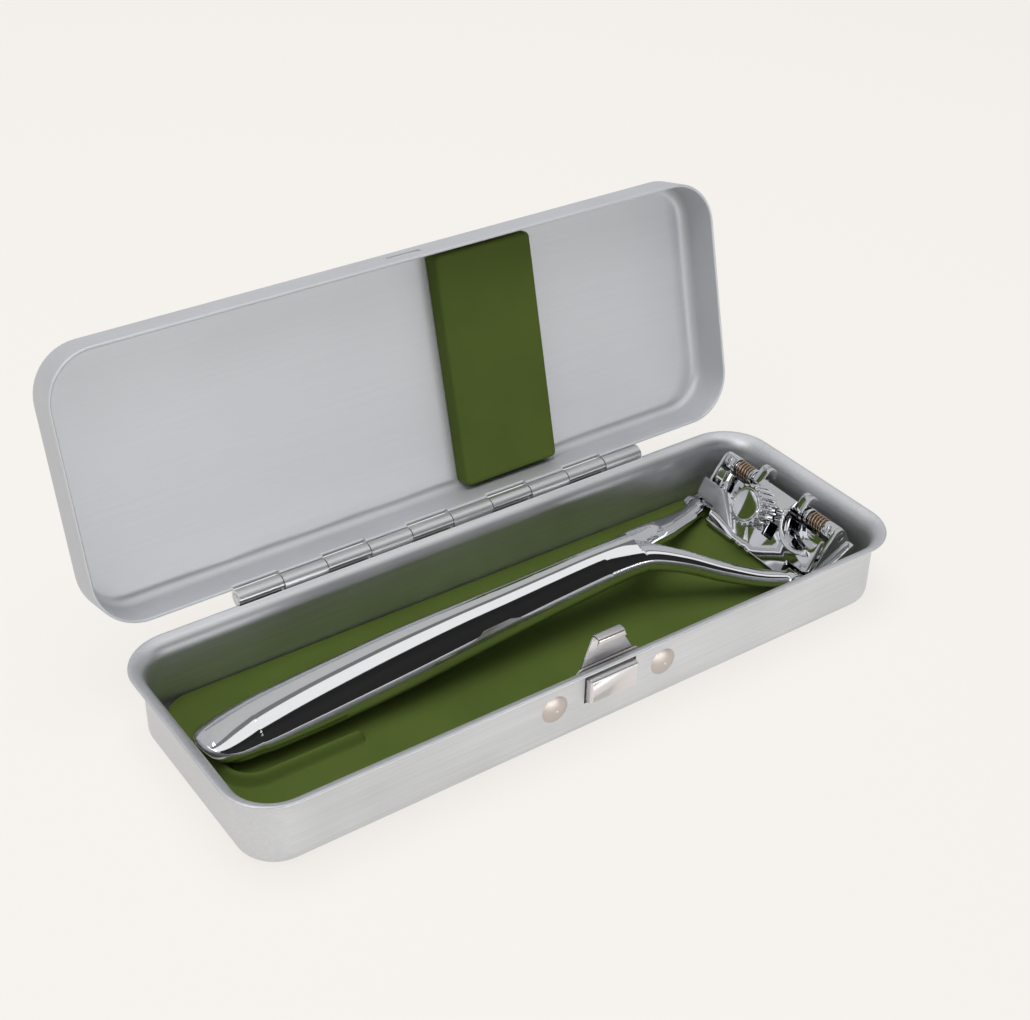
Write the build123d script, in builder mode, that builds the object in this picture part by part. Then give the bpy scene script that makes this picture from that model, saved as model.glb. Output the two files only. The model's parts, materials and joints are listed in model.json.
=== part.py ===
from build123d import *
import os
from math import acos, asin, cos, degrees, radians, sin, tan

# Razor travel case: a pressed tray and lid on a knuckle hinge, with a spring latch,
# a moulded mat, a hold-down pad and a three-blade safety razor lying inside.
# The origin is the centre of the tray's underside, +X along the case, +Y to the hinge, +Z up.

# Driving dimensions of the case
sheet = 0.8
rim_length = 190.0
rim_width = 67.4
rim_height = 20.8
rim_corner = 12.8
lip_flare = 2.75
lip_radius = 3.4
floor_fillet = 3.8

lid_depth = 12.8
lid_overhang = 0.3
lid_corner = 12.6
lid_fillet = 3.5
lid_gap = 0.3
open_angle = 104.2

# Driving dimensions of the hinge
knuckle_count = 10
knuckle_pitch = 12.3
knuckle_play = 0.3
leaf = 0.7
pin_radius = 1.55
running_fit = 0.05
leaf_rise = 0.1
roll_turn = 250
base_leaf_depth = 9.0
lid_leaf_depth = 8.0
lip_notch = 0.5
lid_notch = 1.3
pin_chamfer = 0.3

# Driving dimensions of the latch
latch_x = 1.3
latch_sheet = 0.5
button_width = 14.3
button_height = 7.1
button_bottom = 9.7
button_proud = 2.0
window_play = 0.35
window_top_slit = 0.8
rivet_spacing = 32.0
rivet_height = 11.6
rivet_head_radius = 3.6
rivet_head_rise = 1.0
rivet_shank_radius = 1.6
rivet_fit = 0.05
rivet_foot_radius = 2.3
rivet_foot = 0.6
washer_radius = 3.1
washer_sheet = 0.6
strap_end = 4.4
strap_height = 7.6
strap_border = 1.9
strap_foot = 6.8
strap_crest = 19.0
tongue_foot_width = 16.0
tongue_head_width = 7.6
tongue_shoulder = 17.8
tongue_top = 26.3
tongue_lean = 1.15
hook_reach = 2.4
hook_lip = 1.6
hook_bend = 0.6
tongue_foot = 7.6
button_edge = 0.8
catch_height = 1.8
catch_play = 1.0

# Driving dimensions of the mat and the pad
mat_sheet = 3.5
mat_end_gap = 4.0
mat_side_gap = 0.3
mat_corner = 8.5
mat_edge = 0.4
rib_width = 3.0
rib_height = 2.4
rib_edge = 1.1
cradle_length = 32.3
cradle_width = 23.8
cradle_end_inset = 3.2
cradle_corner = 7.0
pad_centre = 25.3
pad_width = 29.0
pad_gap = 1.7
pad_shift = 0.6
pad_sheet = 5.5
pad_edge = 1.2
pad_seat_edge = 2.2

# Driving dimensions of the razor, in its own frame: +X from the grip's tip to the head
razor_skew = -1.39
razor_offset = 2.97
tip_gap = 3.45
pivot_inset = 19.85
pivot_z = 6.9
boss_width = 3.8
boss_radius = 2.35
boss_gap = 0.2
screw_radius = 0.95
screw_head_radius = 1.9
screw_head = 1.0
head_lean = 60.6
neck_reach = 38.6
fork_reach = 45.6

# Grip rows from its tip to its neck: share of the grip's length, height, half width, half height
grip_rows = (
    (0.0, 12.0, 2.2, 0.5),
    (0.0165, 11.7, 4.4, 2.1),
    (0.0496, 11.4, 5.7, 3.9),
    (0.1074, 11.2, 6.5, 5.5),
    (0.1983, 11.3, 6.8, 6.5),
    (0.3140, 12.1, 6.8, 6.6),
    (0.4380, 13.0, 6.7, 6.5),
    (0.5620, 14.0, 6.3, 6.1),
    (0.6860, 15.1, 5.9, 5.7),
    (0.7934, 16.1, 5.6, 5.4),
    (0.8926, 17.0, 5.4, 5.2),
    (1.0, 17.8, 5.2, 4.6),
)
# Arm rows from the fork to the pivot: share of the arm's length, share of the pivots' spread,
# height, half width, half height
arm_rows = (
    (0.0, 0.051, 17.3, 3.9, 3.6),
    (0.2193, 0.153, 17.3, 4.0, 3.7),
    (0.3947, 0.3265, 15.2, 3.5, 3.2),
    (0.6140, 0.5816, 11.2, 3.1, 2.8),
    (0.8224, 0.8265, 8.2, 2.6, 2.4),
    (0.9561, 0.9643, 7.2, 2.2, 2.1),
)

# Driving dimensions of the razor's head, from its pivot: across the head, up the cover, out of it
cover_sheet = 1.2
cover_foot = -1.2
cover_shoulder = 3.2
cover_corner = 1.5
cover_overhang = 0.8
foot_gap = 2.5
foot_bead = 0.75
bead_spans = ((0.0, 0.36), (0.42, 0.07), (0.54, 0.06))
lobe_radius = 2.7
lobe_up = 5.9
fold_up = 13.3
fold_reach = 4.4
fold_angle = 42.0
knob_up = 10.6
knob_radius = 5.7
knob_height = 6.2
knob_gap = 0.4
knob_disc_radius = 4.5
knob_disc_rise = 0.4
knob_disc_rim = 0.5
knob_disc_sink = 0.25
flute_count = 18
flute_radius = 0.72
stud_radius = 1.5
stud_reach = 1.6
bridge_radius = 2.9
bridge_width = 4.0
bridge_sheet = 1.4
stud_gap = 0.35
sight_side = 5.8
sight_up = 7.1
sight_width = 4.0
sight_height = 4.4
rod_up = 15.2
rod_out = -5.6
rod_radius = 1.3
collar_radius = 2.3
collar_length = 3.9
collar_slot = 1.0
collar_slot_depth = 0.6
washer_length = 1.2
washer_gap = 0.4
cheek_gap = 0.3
cheek_sheet = 1.15
cheek_pivot_radius = 2.2
cheek_rod_radius = 2.2
cheek_bend = (1.6, -2.9, 1.3)
cheek_toe_radius = 0.9
ear_spacing = 16.6
ear_shift = 0.4
ear_width = 3.2
ear_radius = 2.5
ear_lug_reach = 3.0
ear_lug_radius = 2.0
ear_slot = 0.9
ear_slot_depth = 0.7
guard_up = -1.0
guard_out = -2.2
guard_tilt = 31.0
frame_sheet = 1.3
frame_start = 2.2
frame_end = 17.5
frame_overhang = 1.65
frame_front = 2.6
frame_back = 1.6
blade_count = 3
blade_first = 5.6
blade_pitch = 3.6
blade_angle = 25.0
blade_length = 42.8
blade_depth = 5.6
blade_sheet = 0.25
clamp_length = 30.0
clamp_back = 1.2
clamp_sheet = 0.5
slat_front = 1.4
slat_sheet = 0.45
spring_wire = 0.35
spring_turns = 5
spring_pitch = 1.0
spring_play = 0.3
spring_gap = 0.5
dish_side = 15.7
dish_up = 13.7
dish_radius = 7.2
dish_rim = 1.4
dish_rise = 1.6
dish_edge = 0.4
dish_start = 172
dish_turn = 134
notch_side = 11.6
notch_up = 8.7
bracket_side = 14.3
bracket_width = 3.0
bracket_top = 13.6
bracket_wall = 0.7
bracket_rise = 1.1

# Sizes that follow from the driving dimensions
wall_length = rim_length - 2 * lip_flare
wall_width = rim_width - 2 * lip_flare
wall_corner = rim_corner - lip_flare
wall_y = wall_width / 2
lip_turn = degrees(acos(1 - lip_flare / lip_radius))
lip_start = rim_height - (lip_radius + sheet) * sin(radians(lip_turn))
lid_length = rim_length + 2 * lid_overhang
lid_bottom = rim_height + lid_gap
lid_top = lid_bottom + lid_depth

knuckle_bore = pin_radius + running_fit
knuckle_middle = knuckle_bore + leaf / 2
hinge_length = knuckle_count * knuckle_pitch
hinge_y = rim_width / 2 + knuckle_bore + leaf
hinge_z = rim_height + leaf_rise
base_leaf_y = wall_y + leaf / 2
base_leaf_bend = hinge_z - knuckle_middle - lip_start
base_leaf_end = base_leaf_y + base_leaf_bend
lid_leaf_y = rim_width / 2 + leaf / 2
lid_leaf_foot = hinge_z + knuckle_bore + leaf + knuckle_play

window_width = button_width + 2 * window_play
window_height = button_height + window_play + window_top_slit
window_middle = button_bottom - window_play + window_height / 2
strap_front = wall_y - sheet
strap_back = strap_front - latch_sheet
tongue_y = strap_back - latch_sheet / 2
washer_back = strap_back - washer_sheet
rivet_hole = rivet_shank_radius + rivet_fit
dome_radius = (rivet_head_radius**2 + rivet_head_rise**2) / (2 * rivet_head_rise)

mat_length = wall_length - 2 * sheet - 2 * mat_end_gap
mat_width = wall_width - 2 * sheet - 2 * mat_side_gap
mat_top = sheet + mat_sheet
pad_length = rim_width - 2 * sheet - 2 * pad_gap
cradle_x = -mat_length / 2 + cradle_end_inset
cradle_y = razor_offset + (cradle_x + cradle_length / 2) * tan(radians(razor_skew))

cheek_inner = blade_length / 2 + cheek_gap
rod_length = 2 * (cheek_inner + cheek_sheet)
frame_width = rod_length + 2 * frame_overhang
pivot_spread = cheek_inner - boss_gap - boss_width / 2
pivot_x = wall_length / 2 - sheet - pivot_inset
grip_tip = -wall_length / 2 + sheet + tip_gap
grip_length = pivot_x - neck_reach - grip_tip
cover_width = 2 * (cheek_inner + cover_overhang)
cover_foot_width = 2 * (pivot_spread - boss_width / 2 - foot_gap)
lobe_side = cover_width / 2 - lobe_radius
fold_width = ear_spacing - ear_width
washer_side = ear_shift + (ear_spacing + ear_width + washer_length) / 2 + washer_gap
spring_length = spring_pitch * spring_turns
spring_side = cheek_inner - collar_length - spring_gap - spring_length / 2
ear_top = (rod_up + ear_lug_reach, rod_out, ear_lug_radius)
screw_bore = screw_radius + running_fit
rod_bore = rod_radius + running_fit
coil_radius = rod_radius + spring_play + spring_wire
cheek_rod = (rod_up, rod_out, cheek_rod_radius)
cheek_toe = (
    guard_up + frame_end * cos(radians(guard_tilt)) + cheek_toe_radius * (sin(radians(guard_tilt)) - 1),
    guard_out - frame_end * sin(radians(guard_tilt)) + cheek_toe_radius * (cos(radians(guard_tilt)) + 0.5),
    cheek_toe_radius,
)

os.makedirs("parts", exist_ok=True)

# Placements: the lid turns open about the hinge, and the razor lies at a slant in the tray
as_drawn = Location()
lid_open = Location((0, hinge_y, hinge_z)) * Location((0, 0, 0), (-open_angle, 0, 0))
lid_open = lid_open * Location((0, -hinge_y, -hinge_z))
in_tray = Location((0, razor_offset, 0), (0, 0, razor_skew))

# The head's directions, in the razor's frame
pivot = Vector(pivot_x, 0, pivot_z)
across = Vector(0, -1, 0)
head_up = Vector(cos(radians(head_lean)), 0, sin(radians(head_lean)))
head_out = Vector(-sin(radians(head_lean)), 0, cos(radians(head_lean)))
guard_along = head_up * cos(radians(guard_tilt)) - head_out * sin(radians(guard_tilt))
guard_rise = head_up * sin(radians(guard_tilt)) + head_out * cos(radians(guard_tilt))
blade_up = guard_rise * cos(radians(blade_angle)) - guard_along * sin(radians(blade_angle))


def keep(builder, name, place=as_drawn):
    """Put a finished piece in its place, label it and write it out."""
    piece = builder.part.moved(place)
    piece.label = name
    export_step(piece, f"parts/{name}.step")


def knuckle_starts(first):
    """List where every second knuckle starts along the hinge."""
    return [
        -hinge_length / 2 + index * knuckle_pitch + knuckle_play / 2
        for index in range(first, knuckle_count, 2)
    ]


def head_point(side, up, out):
    """Give a point of the head in the razor's frame."""
    return pivot + across * side + head_up * up + head_out * out


def cover_plane(out):
    """Lay a plane on the cover, with its origin over the pivot line."""
    return Plane(origin=head_point(0, 0, out), x_dir=across, z_dir=head_out)


def cheek_plane(side):
    """Stand a plane across the head's length, with up and out as its axes."""
    return Plane(origin=head_point(side, 0, 0), x_dir=head_up, z_dir=across)


def guard_plane(rise):
    """Lay a plane on the guard, which faces the skin."""
    return Plane(
        origin=head_point(0, guard_up, guard_out) + guard_rise * rise, x_dir=across, z_dir=guard_rise
    )


def blade_plane(index, rise):
    """Lay a plane on the seat of one blade, with its origin at the middle of the edge."""
    edge = head_point(0, guard_up, guard_out) + guard_along * (blade_first + index * blade_pitch)
    return Plane(origin=edge + blade_up * rise, x_dir=across, z_dir=blade_up)


# Tray: a flat floor and a wall section with its flared lip, carried round the plan
with BuildPart() as base_tray:
    with BuildSketch():
        RectangleRounded(
            wall_length - 2 * floor_fillet, wall_width - 2 * floor_fillet, wall_corner - floor_fillet
        )
    extrude(amount=sheet)
    with BuildLine() as wall_path:
        FilletPolyline(
            (-wall_length / 2, -wall_y), (wall_length / 2, -wall_y),
            (wall_length / 2, wall_y), (-wall_length / 2, wall_y),
            radius=wall_corner, close=True,
        )
    walk = wall_path.wire()
    outward = (walk % 0).cross(Vector(0, 0, 1))
    with BuildSketch(Plane(origin=walk @ 0, x_dir=outward, z_dir=outward.cross(Vector(0, 0, 1)))):
        with BuildLine():
            CenterArc((-floor_fillet, floor_fillet), floor_fillet, -90, 90)
            Line((0, floor_fillet), (0, lip_start))
            under = CenterArc((lip_radius, lip_start), lip_radius, 180, -lip_turn)
            upper = CenterArc((lip_radius, lip_start), lip_radius + sheet, 180, -lip_turn)
            Line(under @ 1, upper @ 1)
            Line((-sheet, lip_start), (-sheet, floor_fillet))
            CenterArc((-floor_fillet, floor_fillet), floor_fillet - sheet, 0, -90)
            Line((-floor_fillet, sheet), (-floor_fillet, 0))
        make_face()
    sweep(path=walk)
    # The latch window and the rivet holes go through the front wall
    with BuildSketch(Plane.XZ.offset(wall_y - 2 * sheet)):
        with Locations((latch_x, window_middle)):
            Rectangle(window_width, window_height)
        with Locations((latch_x, rivet_height)):
            with GridLocations(rivet_spacing, 0, 2, 1):
                Circle(rivet_hole)
    extrude(amount=4 * sheet, mode=Mode.SUBTRACT)
    # The lip is trimmed back where the hinge lies
    with BuildSketch(Plane.XY.offset(lip_start)):
        with Locations((0, rim_width / 2)):
            Rectangle(hinge_length + 2 * knuckle_play, 2 * lip_notch)
    extrude(amount=rim_height, mode=Mode.SUBTRACT)
keep(base_tray, "base_tray")

# Mat: a soft moulding on the floor, with a raised bead round the grip's tip
with BuildPart() as base_liner:
    with BuildSketch(Plane.XY.offset(sheet)):
        RectangleRounded(mat_length, mat_width, mat_corner)
    extrude(amount=mat_sheet)
    fillet(base_liner.faces().sort_by(Axis.Z)[0].edges(), floor_fillet - sheet)
    fillet(base_liner.faces().sort_by(Axis.Z)[-1].edges(), mat_edge)
    with BuildSketch(Plane.XY.offset(mat_top)):
        with BuildLine():
            FilletPolyline(
                (cradle_x + cradle_length, cradle_y - cradle_width / 2),
                (cradle_x, cradle_y - cradle_width / 2),
                (cradle_x, cradle_y + cradle_width / 2),
                (cradle_x + cradle_length, cradle_y + cradle_width / 2),
                radius=cradle_corner,
            )
        trace(line_width=rib_width)
    extrude(amount=rib_height)
    fillet(base_liner.faces().sort_by(Axis.Z)[-1].edges(), rib_edge)
keep(base_liner, "base_liner")

# Hinge: each leaf is a strip on the outside of its wall, rolled into every second knuckle
with BuildPart() as hinge_leaf_base:
    with BuildSketch(Plane.YZ.offset(-hinge_length / 2)):
        with BuildLine():
            Line((base_leaf_y, lip_start - base_leaf_depth), (base_leaf_y, lip_start))
            CenterArc((base_leaf_end, lip_start), base_leaf_bend, 180, -90)
        trace(line_width=leaf)
    extrude(amount=hinge_length)
    for start in knuckle_starts(0):
        with BuildSketch(Plane.YZ.offset(start)):
            with BuildLine():
                Line((base_leaf_end, hinge_z - knuckle_middle), (hinge_y, hinge_z - knuckle_middle))
                CenterArc((hinge_y, hinge_z), knuckle_middle, -90, roll_turn)
            trace(line_width=leaf)
        extrude(amount=knuckle_pitch - knuckle_play)
keep(hinge_leaf_base, "hinge_leaf_base")

with BuildPart() as hinge_leaf_lid:
    with BuildSketch(Plane.YZ.offset(-hinge_length / 2)):
        with BuildLine():
            Line((lid_leaf_y, lid_leaf_foot), (lid_leaf_y, lid_leaf_foot + lid_leaf_depth))
        trace(line_width=leaf)
    extrude(amount=hinge_length)
    for start in knuckle_starts(1):
        with BuildSketch(Plane.YZ.offset(start)):
            with BuildLine():
                Line((lid_leaf_y, lid_leaf_foot), (lid_leaf_y, hinge_z))
                CenterArc((hinge_y, hinge_z), knuckle_middle, 180, roll_turn)
            trace(line_width=leaf)
        extrude(amount=knuckle_pitch - knuckle_play)
keep(hinge_leaf_lid, "hinge_leaf_lid", lid_open)

with BuildPart() as hinge_pin:
    with BuildSketch(Plane.YZ.offset(-hinge_length / 2)):
        with Locations((hinge_y, hinge_z)):
            Circle(pin_radius)
    extrude(amount=hinge_length)
    chamfer(hinge_pin.edges().filter_by(GeomType.CIRCLE), pin_chamfer)
keep(hinge_pin, "hinge_pin")

# Lid: drawn shut over the tray
with BuildPart() as lid_shell:
    with BuildSketch(Plane.XY.offset(lid_bottom)):
        RectangleRounded(lid_length, rim_width, lid_corner)
    extrude(amount=lid_depth)
    fillet(lid_shell.faces().sort_by(Axis.Z)[-1].edges(), lid_fillet)
    offset(amount=-sheet, openings=lid_shell.faces().sort_by(Axis.Z)[0])
    # The hook's slot in the front wall
    with BuildSketch(Plane.XZ.offset(rim_width / 2 - 2 * sheet)):
        with Locations((latch_x, tongue_top)):
            Rectangle(tongue_head_width + 2 * catch_play, catch_height)
    extrude(amount=3 * sheet, mode=Mode.SUBTRACT)
    # A notch in the back wall over each of the tray's knuckles
    with BuildSketch(Plane.XY.offset(lid_bottom)):
        for start in knuckle_starts(0):
            with Locations((start + (knuckle_pitch - knuckle_play) / 2, rim_width / 2)):
                Rectangle(knuckle_pitch + knuckle_play, 4 * sheet)
    extrude(amount=lid_notch, mode=Mode.SUBTRACT)
keep(lid_shell, "lid_shell", lid_open)

with BuildPart() as lid_pad:
    with BuildSketch(Plane.XY.offset(lid_top - sheet)):
        with Locations((pad_centre, pad_shift)):
            Rectangle(pad_width, pad_length)
    extrude(amount=-pad_sheet)
    fillet(lid_pad.faces().sort_by(Axis.Z)[-1].edges().filter_by(Axis.X), pad_seat_edge)
    fillet(lid_pad.faces().sort_by(Axis.Z)[0].edges(), pad_edge)
keep(lid_pad, "lid_pad", lid_open)

# Latch: a hollow button through the front wall, a hooked tongue behind it,
# and the spring strap that two rivets hold inside the wall
with BuildPart() as latch_button:
    with BuildSketch(Plane.XZ.offset(wall_y + button_proud)):
        with Locations((latch_x, button_bottom + button_height / 2)):
            RectangleRounded(button_width, button_height, button_edge)
    extrude(amount=strap_back - wall_y - button_proud)
    fillet(latch_button.faces().sort_by(Axis.Y)[0].edges(), button_edge)
    offset(amount=-latch_sheet, openings=latch_button.faces().sort_by(Axis.Y)[-1])
keep(latch_button, "latch_button")

with BuildPart() as latch_tongue:
    with BuildSketch(Plane.YZ.offset(latch_x - tongue_foot_width / 2)):
        with BuildLine():
            FilletPolyline(
                (-tongue_y, tongue_foot),
                (-tongue_y, tongue_shoulder),
                (-tongue_y + tongue_lean, tongue_top),
                (-tongue_y + tongue_lean - hook_reach, tongue_top),
                (-tongue_y + tongue_lean - hook_reach, tongue_top - hook_lip),
                radius=hook_bend,
            )
        trace(line_width=latch_sheet)
    extrude(amount=tongue_foot_width)
    # The tongue narrows from its shoulder to its hook
    with BuildSketch(Plane.XZ) as tongue_front:
        with BuildLine():
            Polyline(
                (latch_x, tongue_foot - latch_sheet),
                (latch_x + tongue_foot_width / 2, tongue_foot - latch_sheet),
                (latch_x + tongue_foot_width / 2, tongue_shoulder),
                (latch_x + tongue_head_width / 2, tongue_top - hook_bend),
                (latch_x + tongue_head_width / 2, tongue_top + latch_sheet),
                (latch_x, tongue_top + latch_sheet),
                close=True,
            )
        make_face()
        mirror(about=Plane.YZ.offset(latch_x))
    extrude(amount=wall_width, mode=Mode.INTERSECT)
keep(latch_tongue, "latch_tongue")

with BuildPart() as latch_spring:
    with BuildSketch(Plane.XZ.offset(strap_back)):
        with Locations((latch_x, rivet_height)):
            SlotOverall(rivet_spacing + 2 * strap_end, strap_height)
        with Locations((latch_x, (strap_foot + strap_crest) / 2)):
            RectangleRounded(window_width + 2 * strap_border, strap_crest - strap_foot, strap_border)
        with Locations((latch_x, window_middle)):
            Rectangle(window_width, window_height, mode=Mode.SUBTRACT)
        with Locations((latch_x, rivet_height)):
            with GridLocations(rivet_spacing, 0, 2, 1):
                Circle(rivet_hole, mode=Mode.SUBTRACT)
    extrude(amount=latch_sheet)
keep(latch_spring, "latch_spring")

with BuildPart() as latch_washers:
    with BuildSketch(Plane.XZ.offset(washer_back)):
        with Locations((latch_x, rivet_height)):
            with GridLocations(rivet_spacing, 0, 2, 1):
                Circle(washer_radius)
                Circle(rivet_hole, mode=Mode.SUBTRACT)
    extrude(amount=washer_sheet)
keep(latch_washers, "latch_washers")

with BuildPart() as latch_rivets:
    for rivet_x in (latch_x - rivet_spacing / 2, latch_x + rivet_spacing / 2):
        with BuildSketch(Plane(origin=(rivet_x, 0, rivet_height))):
            with BuildLine():
                dome = CenterArc(
                    (0, dome_radius - wall_y - rivet_head_rise), dome_radius,
                    -90, degrees(asin(rivet_head_radius / dome_radius)),
                )
                Polyline(
                    dome @ 1,
                    (rivet_shank_radius, -wall_y),
                    (rivet_shank_radius, -washer_back),
                    (rivet_foot_radius, -washer_back),
                    (rivet_shank_radius, -washer_back + rivet_foot),
                    (0, -washer_back + rivet_foot),
                    dome @ 0,
                )
            make_face()
        revolve(axis=Axis((rivet_x, 0, rivet_height), (0, 1, 0)))
keep(latch_rivets, "latch_rivets")

# Razor grip: a tapering round grip that forks into two arms with a pivot boss on each
with BuildPart() as razor_handle:
    for share, height, half_width, half_height in grip_rows:
        with BuildSketch(Plane.YZ.offset(grip_tip + share * grip_length)):
            with Locations((0, height)):
                Ellipse(half_width, half_height)
    loft()
    for side in (-1, 1):
        points = [
            Vector(pivot_x - (1 - share) * fork_reach, side * spread * pivot_spread, height)
            for share, spread, height, _, _ in arm_rows
        ]
        ends = points[1:] + [Vector(pivot_x, side * pivot_spread, pivot_z)]
        starts = points[:1] + points[:-1]
        for row, point, start, end in zip(arm_rows, points, starts, ends):
            heading = end - start
            level = heading.cross(Vector(0, 0, 1))
            with BuildSketch(Plane(origin=point, x_dir=level, z_dir=heading)):
                Ellipse(row[3], row[4])
        loft()
        with BuildSketch(Plane.XZ.offset(-side * pivot_spread - boss_width / 2)):
            with Locations((pivot_x, pivot_z)):
                Circle(boss_radius)
        extrude(amount=boss_width)
    with BuildSketch(Plane.XZ):
        with Locations((pivot_x, pivot_z)):
            Circle(screw_bore)
    extrude(amount=2 * pivot_spread, both=True, mode=Mode.SUBTRACT)
keep(razor_handle, "razor_handle", in_tray)

with BuildPart() as pivot_screws:
    for side in (-1, 1):
        inner = side * (pivot_spread - boss_width / 2)
        face = side * rod_length / 2
        with BuildSketch(cheek_plane(inner)):
            Circle(screw_radius)
        extrude(amount=face - inner)
        with BuildSketch(cheek_plane(face)):
            Circle(screw_head_radius)
        extrude(amount=side * screw_head)
keep(pivot_screws, "pivot_screws", in_tray)

# Head carrier: a guard frame open in the middle, two cheeks, a slat under each blade
# and a bridge under the knob's stud
with BuildPart() as head_carrier:
    with BuildSketch(guard_plane(0)):
        with Locations((0, (frame_start + frame_end) / 2)):
            Rectangle(frame_width, frame_end - frame_start)
        with Locations((0, (frame_start + frame_end + frame_front - frame_back) / 2)):
            Rectangle(
                2 * cheek_inner, frame_end - frame_start - frame_front - frame_back, mode=Mode.SUBTRACT
            )
    extrude(amount=frame_sheet)
    for side in (-cheek_inner - cheek_sheet, cheek_inner):
        with BuildSketch(cheek_plane(side)):
            for chain in (((0, 0, cheek_pivot_radius), cheek_bend), (cheek_bend, cheek_rod, cheek_toe)):
                with BuildSketch(mode=Mode.PRIVATE) as links:
                    for up, out, radius in chain:
                        with Locations((up, out)):
                            Circle(radius)
                add(make_hull(links.sketch.edges(), mode=Mode.PRIVATE))
            with Locations((rod_up, rod_out)):
                Circle(rod_bore, mode=Mode.SUBTRACT)
            Circle(screw_bore, mode=Mode.SUBTRACT)
        extrude(amount=cheek_sheet)
    for index in range(blade_count):
        with BuildSketch(blade_plane(index, -slat_sheet)):
            with Locations((0, (slat_front + blade_depth) / 2)):
                Rectangle(2 * cheek_inner, blade_depth - slat_front)
        extrude(amount=slat_sheet)
    with BuildSketch(cover_plane(-cover_sheet - stud_reach - stud_gap)):
        with Locations((0, knob_up)):
            Rectangle(2 * cheek_inner, bridge_width)
            Circle(bridge_radius)
    extrude(amount=-bridge_sheet)
keep(head_carrier, "head_carrier", in_tray)

# Cover: a plate over the head with a lobe at each end, cut away over both springs, with a sight
# window, a folded top between the ears, a channel over the left spring and a beaded foot
with BuildPart() as head_cover:
    with BuildSketch(cover_plane(-cover_sheet)):
        with Locations((0, (cover_shoulder + fold_up) / 2)):
            RectangleRounded(cover_width, fold_up - cover_shoulder, cover_corner)
        with Locations((0, (cover_foot + knob_up) / 2)):
            Rectangle(cover_foot_width, knob_up - cover_foot)
        with Locations((dish_side, dish_up)):
            Circle(dish_radius - dish_rim / 2, mode=Mode.SUBTRACT)
        with Locations((-notch_side, notch_up)):
            Rectangle(cover_width, cover_width, align=(Align.MAX, Align.MIN), mode=Mode.SUBTRACT)
        with Locations((-bracket_side, cover_shoulder)):
            Rectangle(bracket_width, bracket_top - cover_shoulder, align=(Align.CENTER, Align.MIN))
        with Locations((0, lobe_up)):
            with GridLocations(2 * lobe_side, 0, 2, 1):
                Circle(lobe_radius)
        with Locations((0, knob_up)):
            Circle(stud_radius + running_fit, mode=Mode.SUBTRACT)
        with Locations((sight_side, sight_up)):
            Rectangle(sight_width, sight_height, mode=Mode.SUBTRACT)
    extrude(amount=cover_sheet)
    with BuildSketch(cover_plane(0)):
        with Locations((-bracket_side, (notch_up + bracket_top) / 2)):
            with GridLocations(bracket_width - bracket_wall, 0, 2, 1):
                Rectangle(bracket_wall, bracket_top - notch_up)
    extrude(amount=bracket_rise)
    # The top folds down towards the rod
    with BuildSketch(cheek_plane(ear_shift - fold_width / 2)):
        with BuildLine():
            root = PolarLine((fold_up - cover_sheet / 2, -cover_sheet / 2), cover_sheet / 2, 0)
            PolarLine(root @ 1, fold_reach, -fold_angle)
        trace(line_width=cover_sheet)
    extrude(amount=fold_width)
    for start, share in bead_spans:
        with BuildSketch(cheek_plane((start - 0.5) * cover_foot_width)):
            with Locations((cover_foot, -cover_sheet / 2)):
                Circle(foot_bead)
        extrude(amount=share * cover_foot_width)
keep(head_cover, "head_cover", in_tray)

# Ears: two slotted lugs beyond the cover's folded top that turn on the rod
with BuildPart() as cover_ears:
    for side in (ear_shift - ear_spacing / 2, ear_shift + ear_spacing / 2):
        with BuildSketch(cheek_plane(side - ear_width / 2)):
            with BuildSketch(mode=Mode.PRIVATE) as links:
                for up, out, radius in ((rod_up, rod_out, ear_radius), ear_top):
                    with Locations((up, out)):
                        Circle(radius)
            add(make_hull(links.sketch.edges(), mode=Mode.PRIVATE))
            with Locations((rod_up, rod_out)):
                Circle(rod_bore, mode=Mode.SUBTRACT)
        extrude(amount=ear_width)
        with BuildSketch(cheek_plane(side - ear_slot / 2)):
            with Locations((ear_top[0] + ear_lug_radius, rod_out)):
                Rectangle(2 * ear_slot_depth, 2 * ear_lug_radius)
        extrude(amount=ear_slot, mode=Mode.SUBTRACT)
keep(cover_ears, "cover_ears", in_tray)

# Guard over the right-hand spring: an open ring standing on the cover
with BuildPart() as spring_guard:
    with BuildSketch(cover_plane(0)):
        with BuildLine():
            CenterArc((dish_side, dish_up), dish_radius, dish_start, dish_turn)
        trace(line_width=dish_rim)
    extrude(amount=dish_rise)
    fillet(spring_guard.faces().sort_by(Axis((0, 0, 0), head_out))[-1].edges(), dish_edge)
keep(spring_guard, "spring_guard", in_tray)

# Knob: a fluted drum with a raised and dished disc on its face, and the stud it turns
with BuildPart() as head_knob:
    with BuildSketch(cover_plane(knob_gap)):
        with Locations((0, knob_up)):
            Circle(knob_radius)
            with PolarLocations(knob_radius, flute_count):
                Circle(flute_radius, mode=Mode.SUBTRACT)
    extrude(amount=knob_height)
    with BuildSketch(cover_plane(knob_gap + knob_height)):
        with Locations((0, knob_up)):
            Circle(knob_disc_radius)
    extrude(amount=knob_disc_rise)
    with BuildSketch(cover_plane(knob_gap + knob_height + knob_disc_rise)):
        with Locations((0, knob_up)):
            Circle(knob_disc_radius - knob_disc_rim)
    extrude(amount=-knob_disc_sink, mode=Mode.SUBTRACT)
keep(head_knob, "head_knob", in_tray)

with BuildPart() as knob_stud:
    with BuildSketch(cover_plane(knob_gap)):
        with Locations((0, knob_up)):
            Circle(stud_radius)
    extrude(amount=-knob_gap - cover_sheet - stud_reach)
keep(knob_stud, "knob_stud", in_tray)

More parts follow.
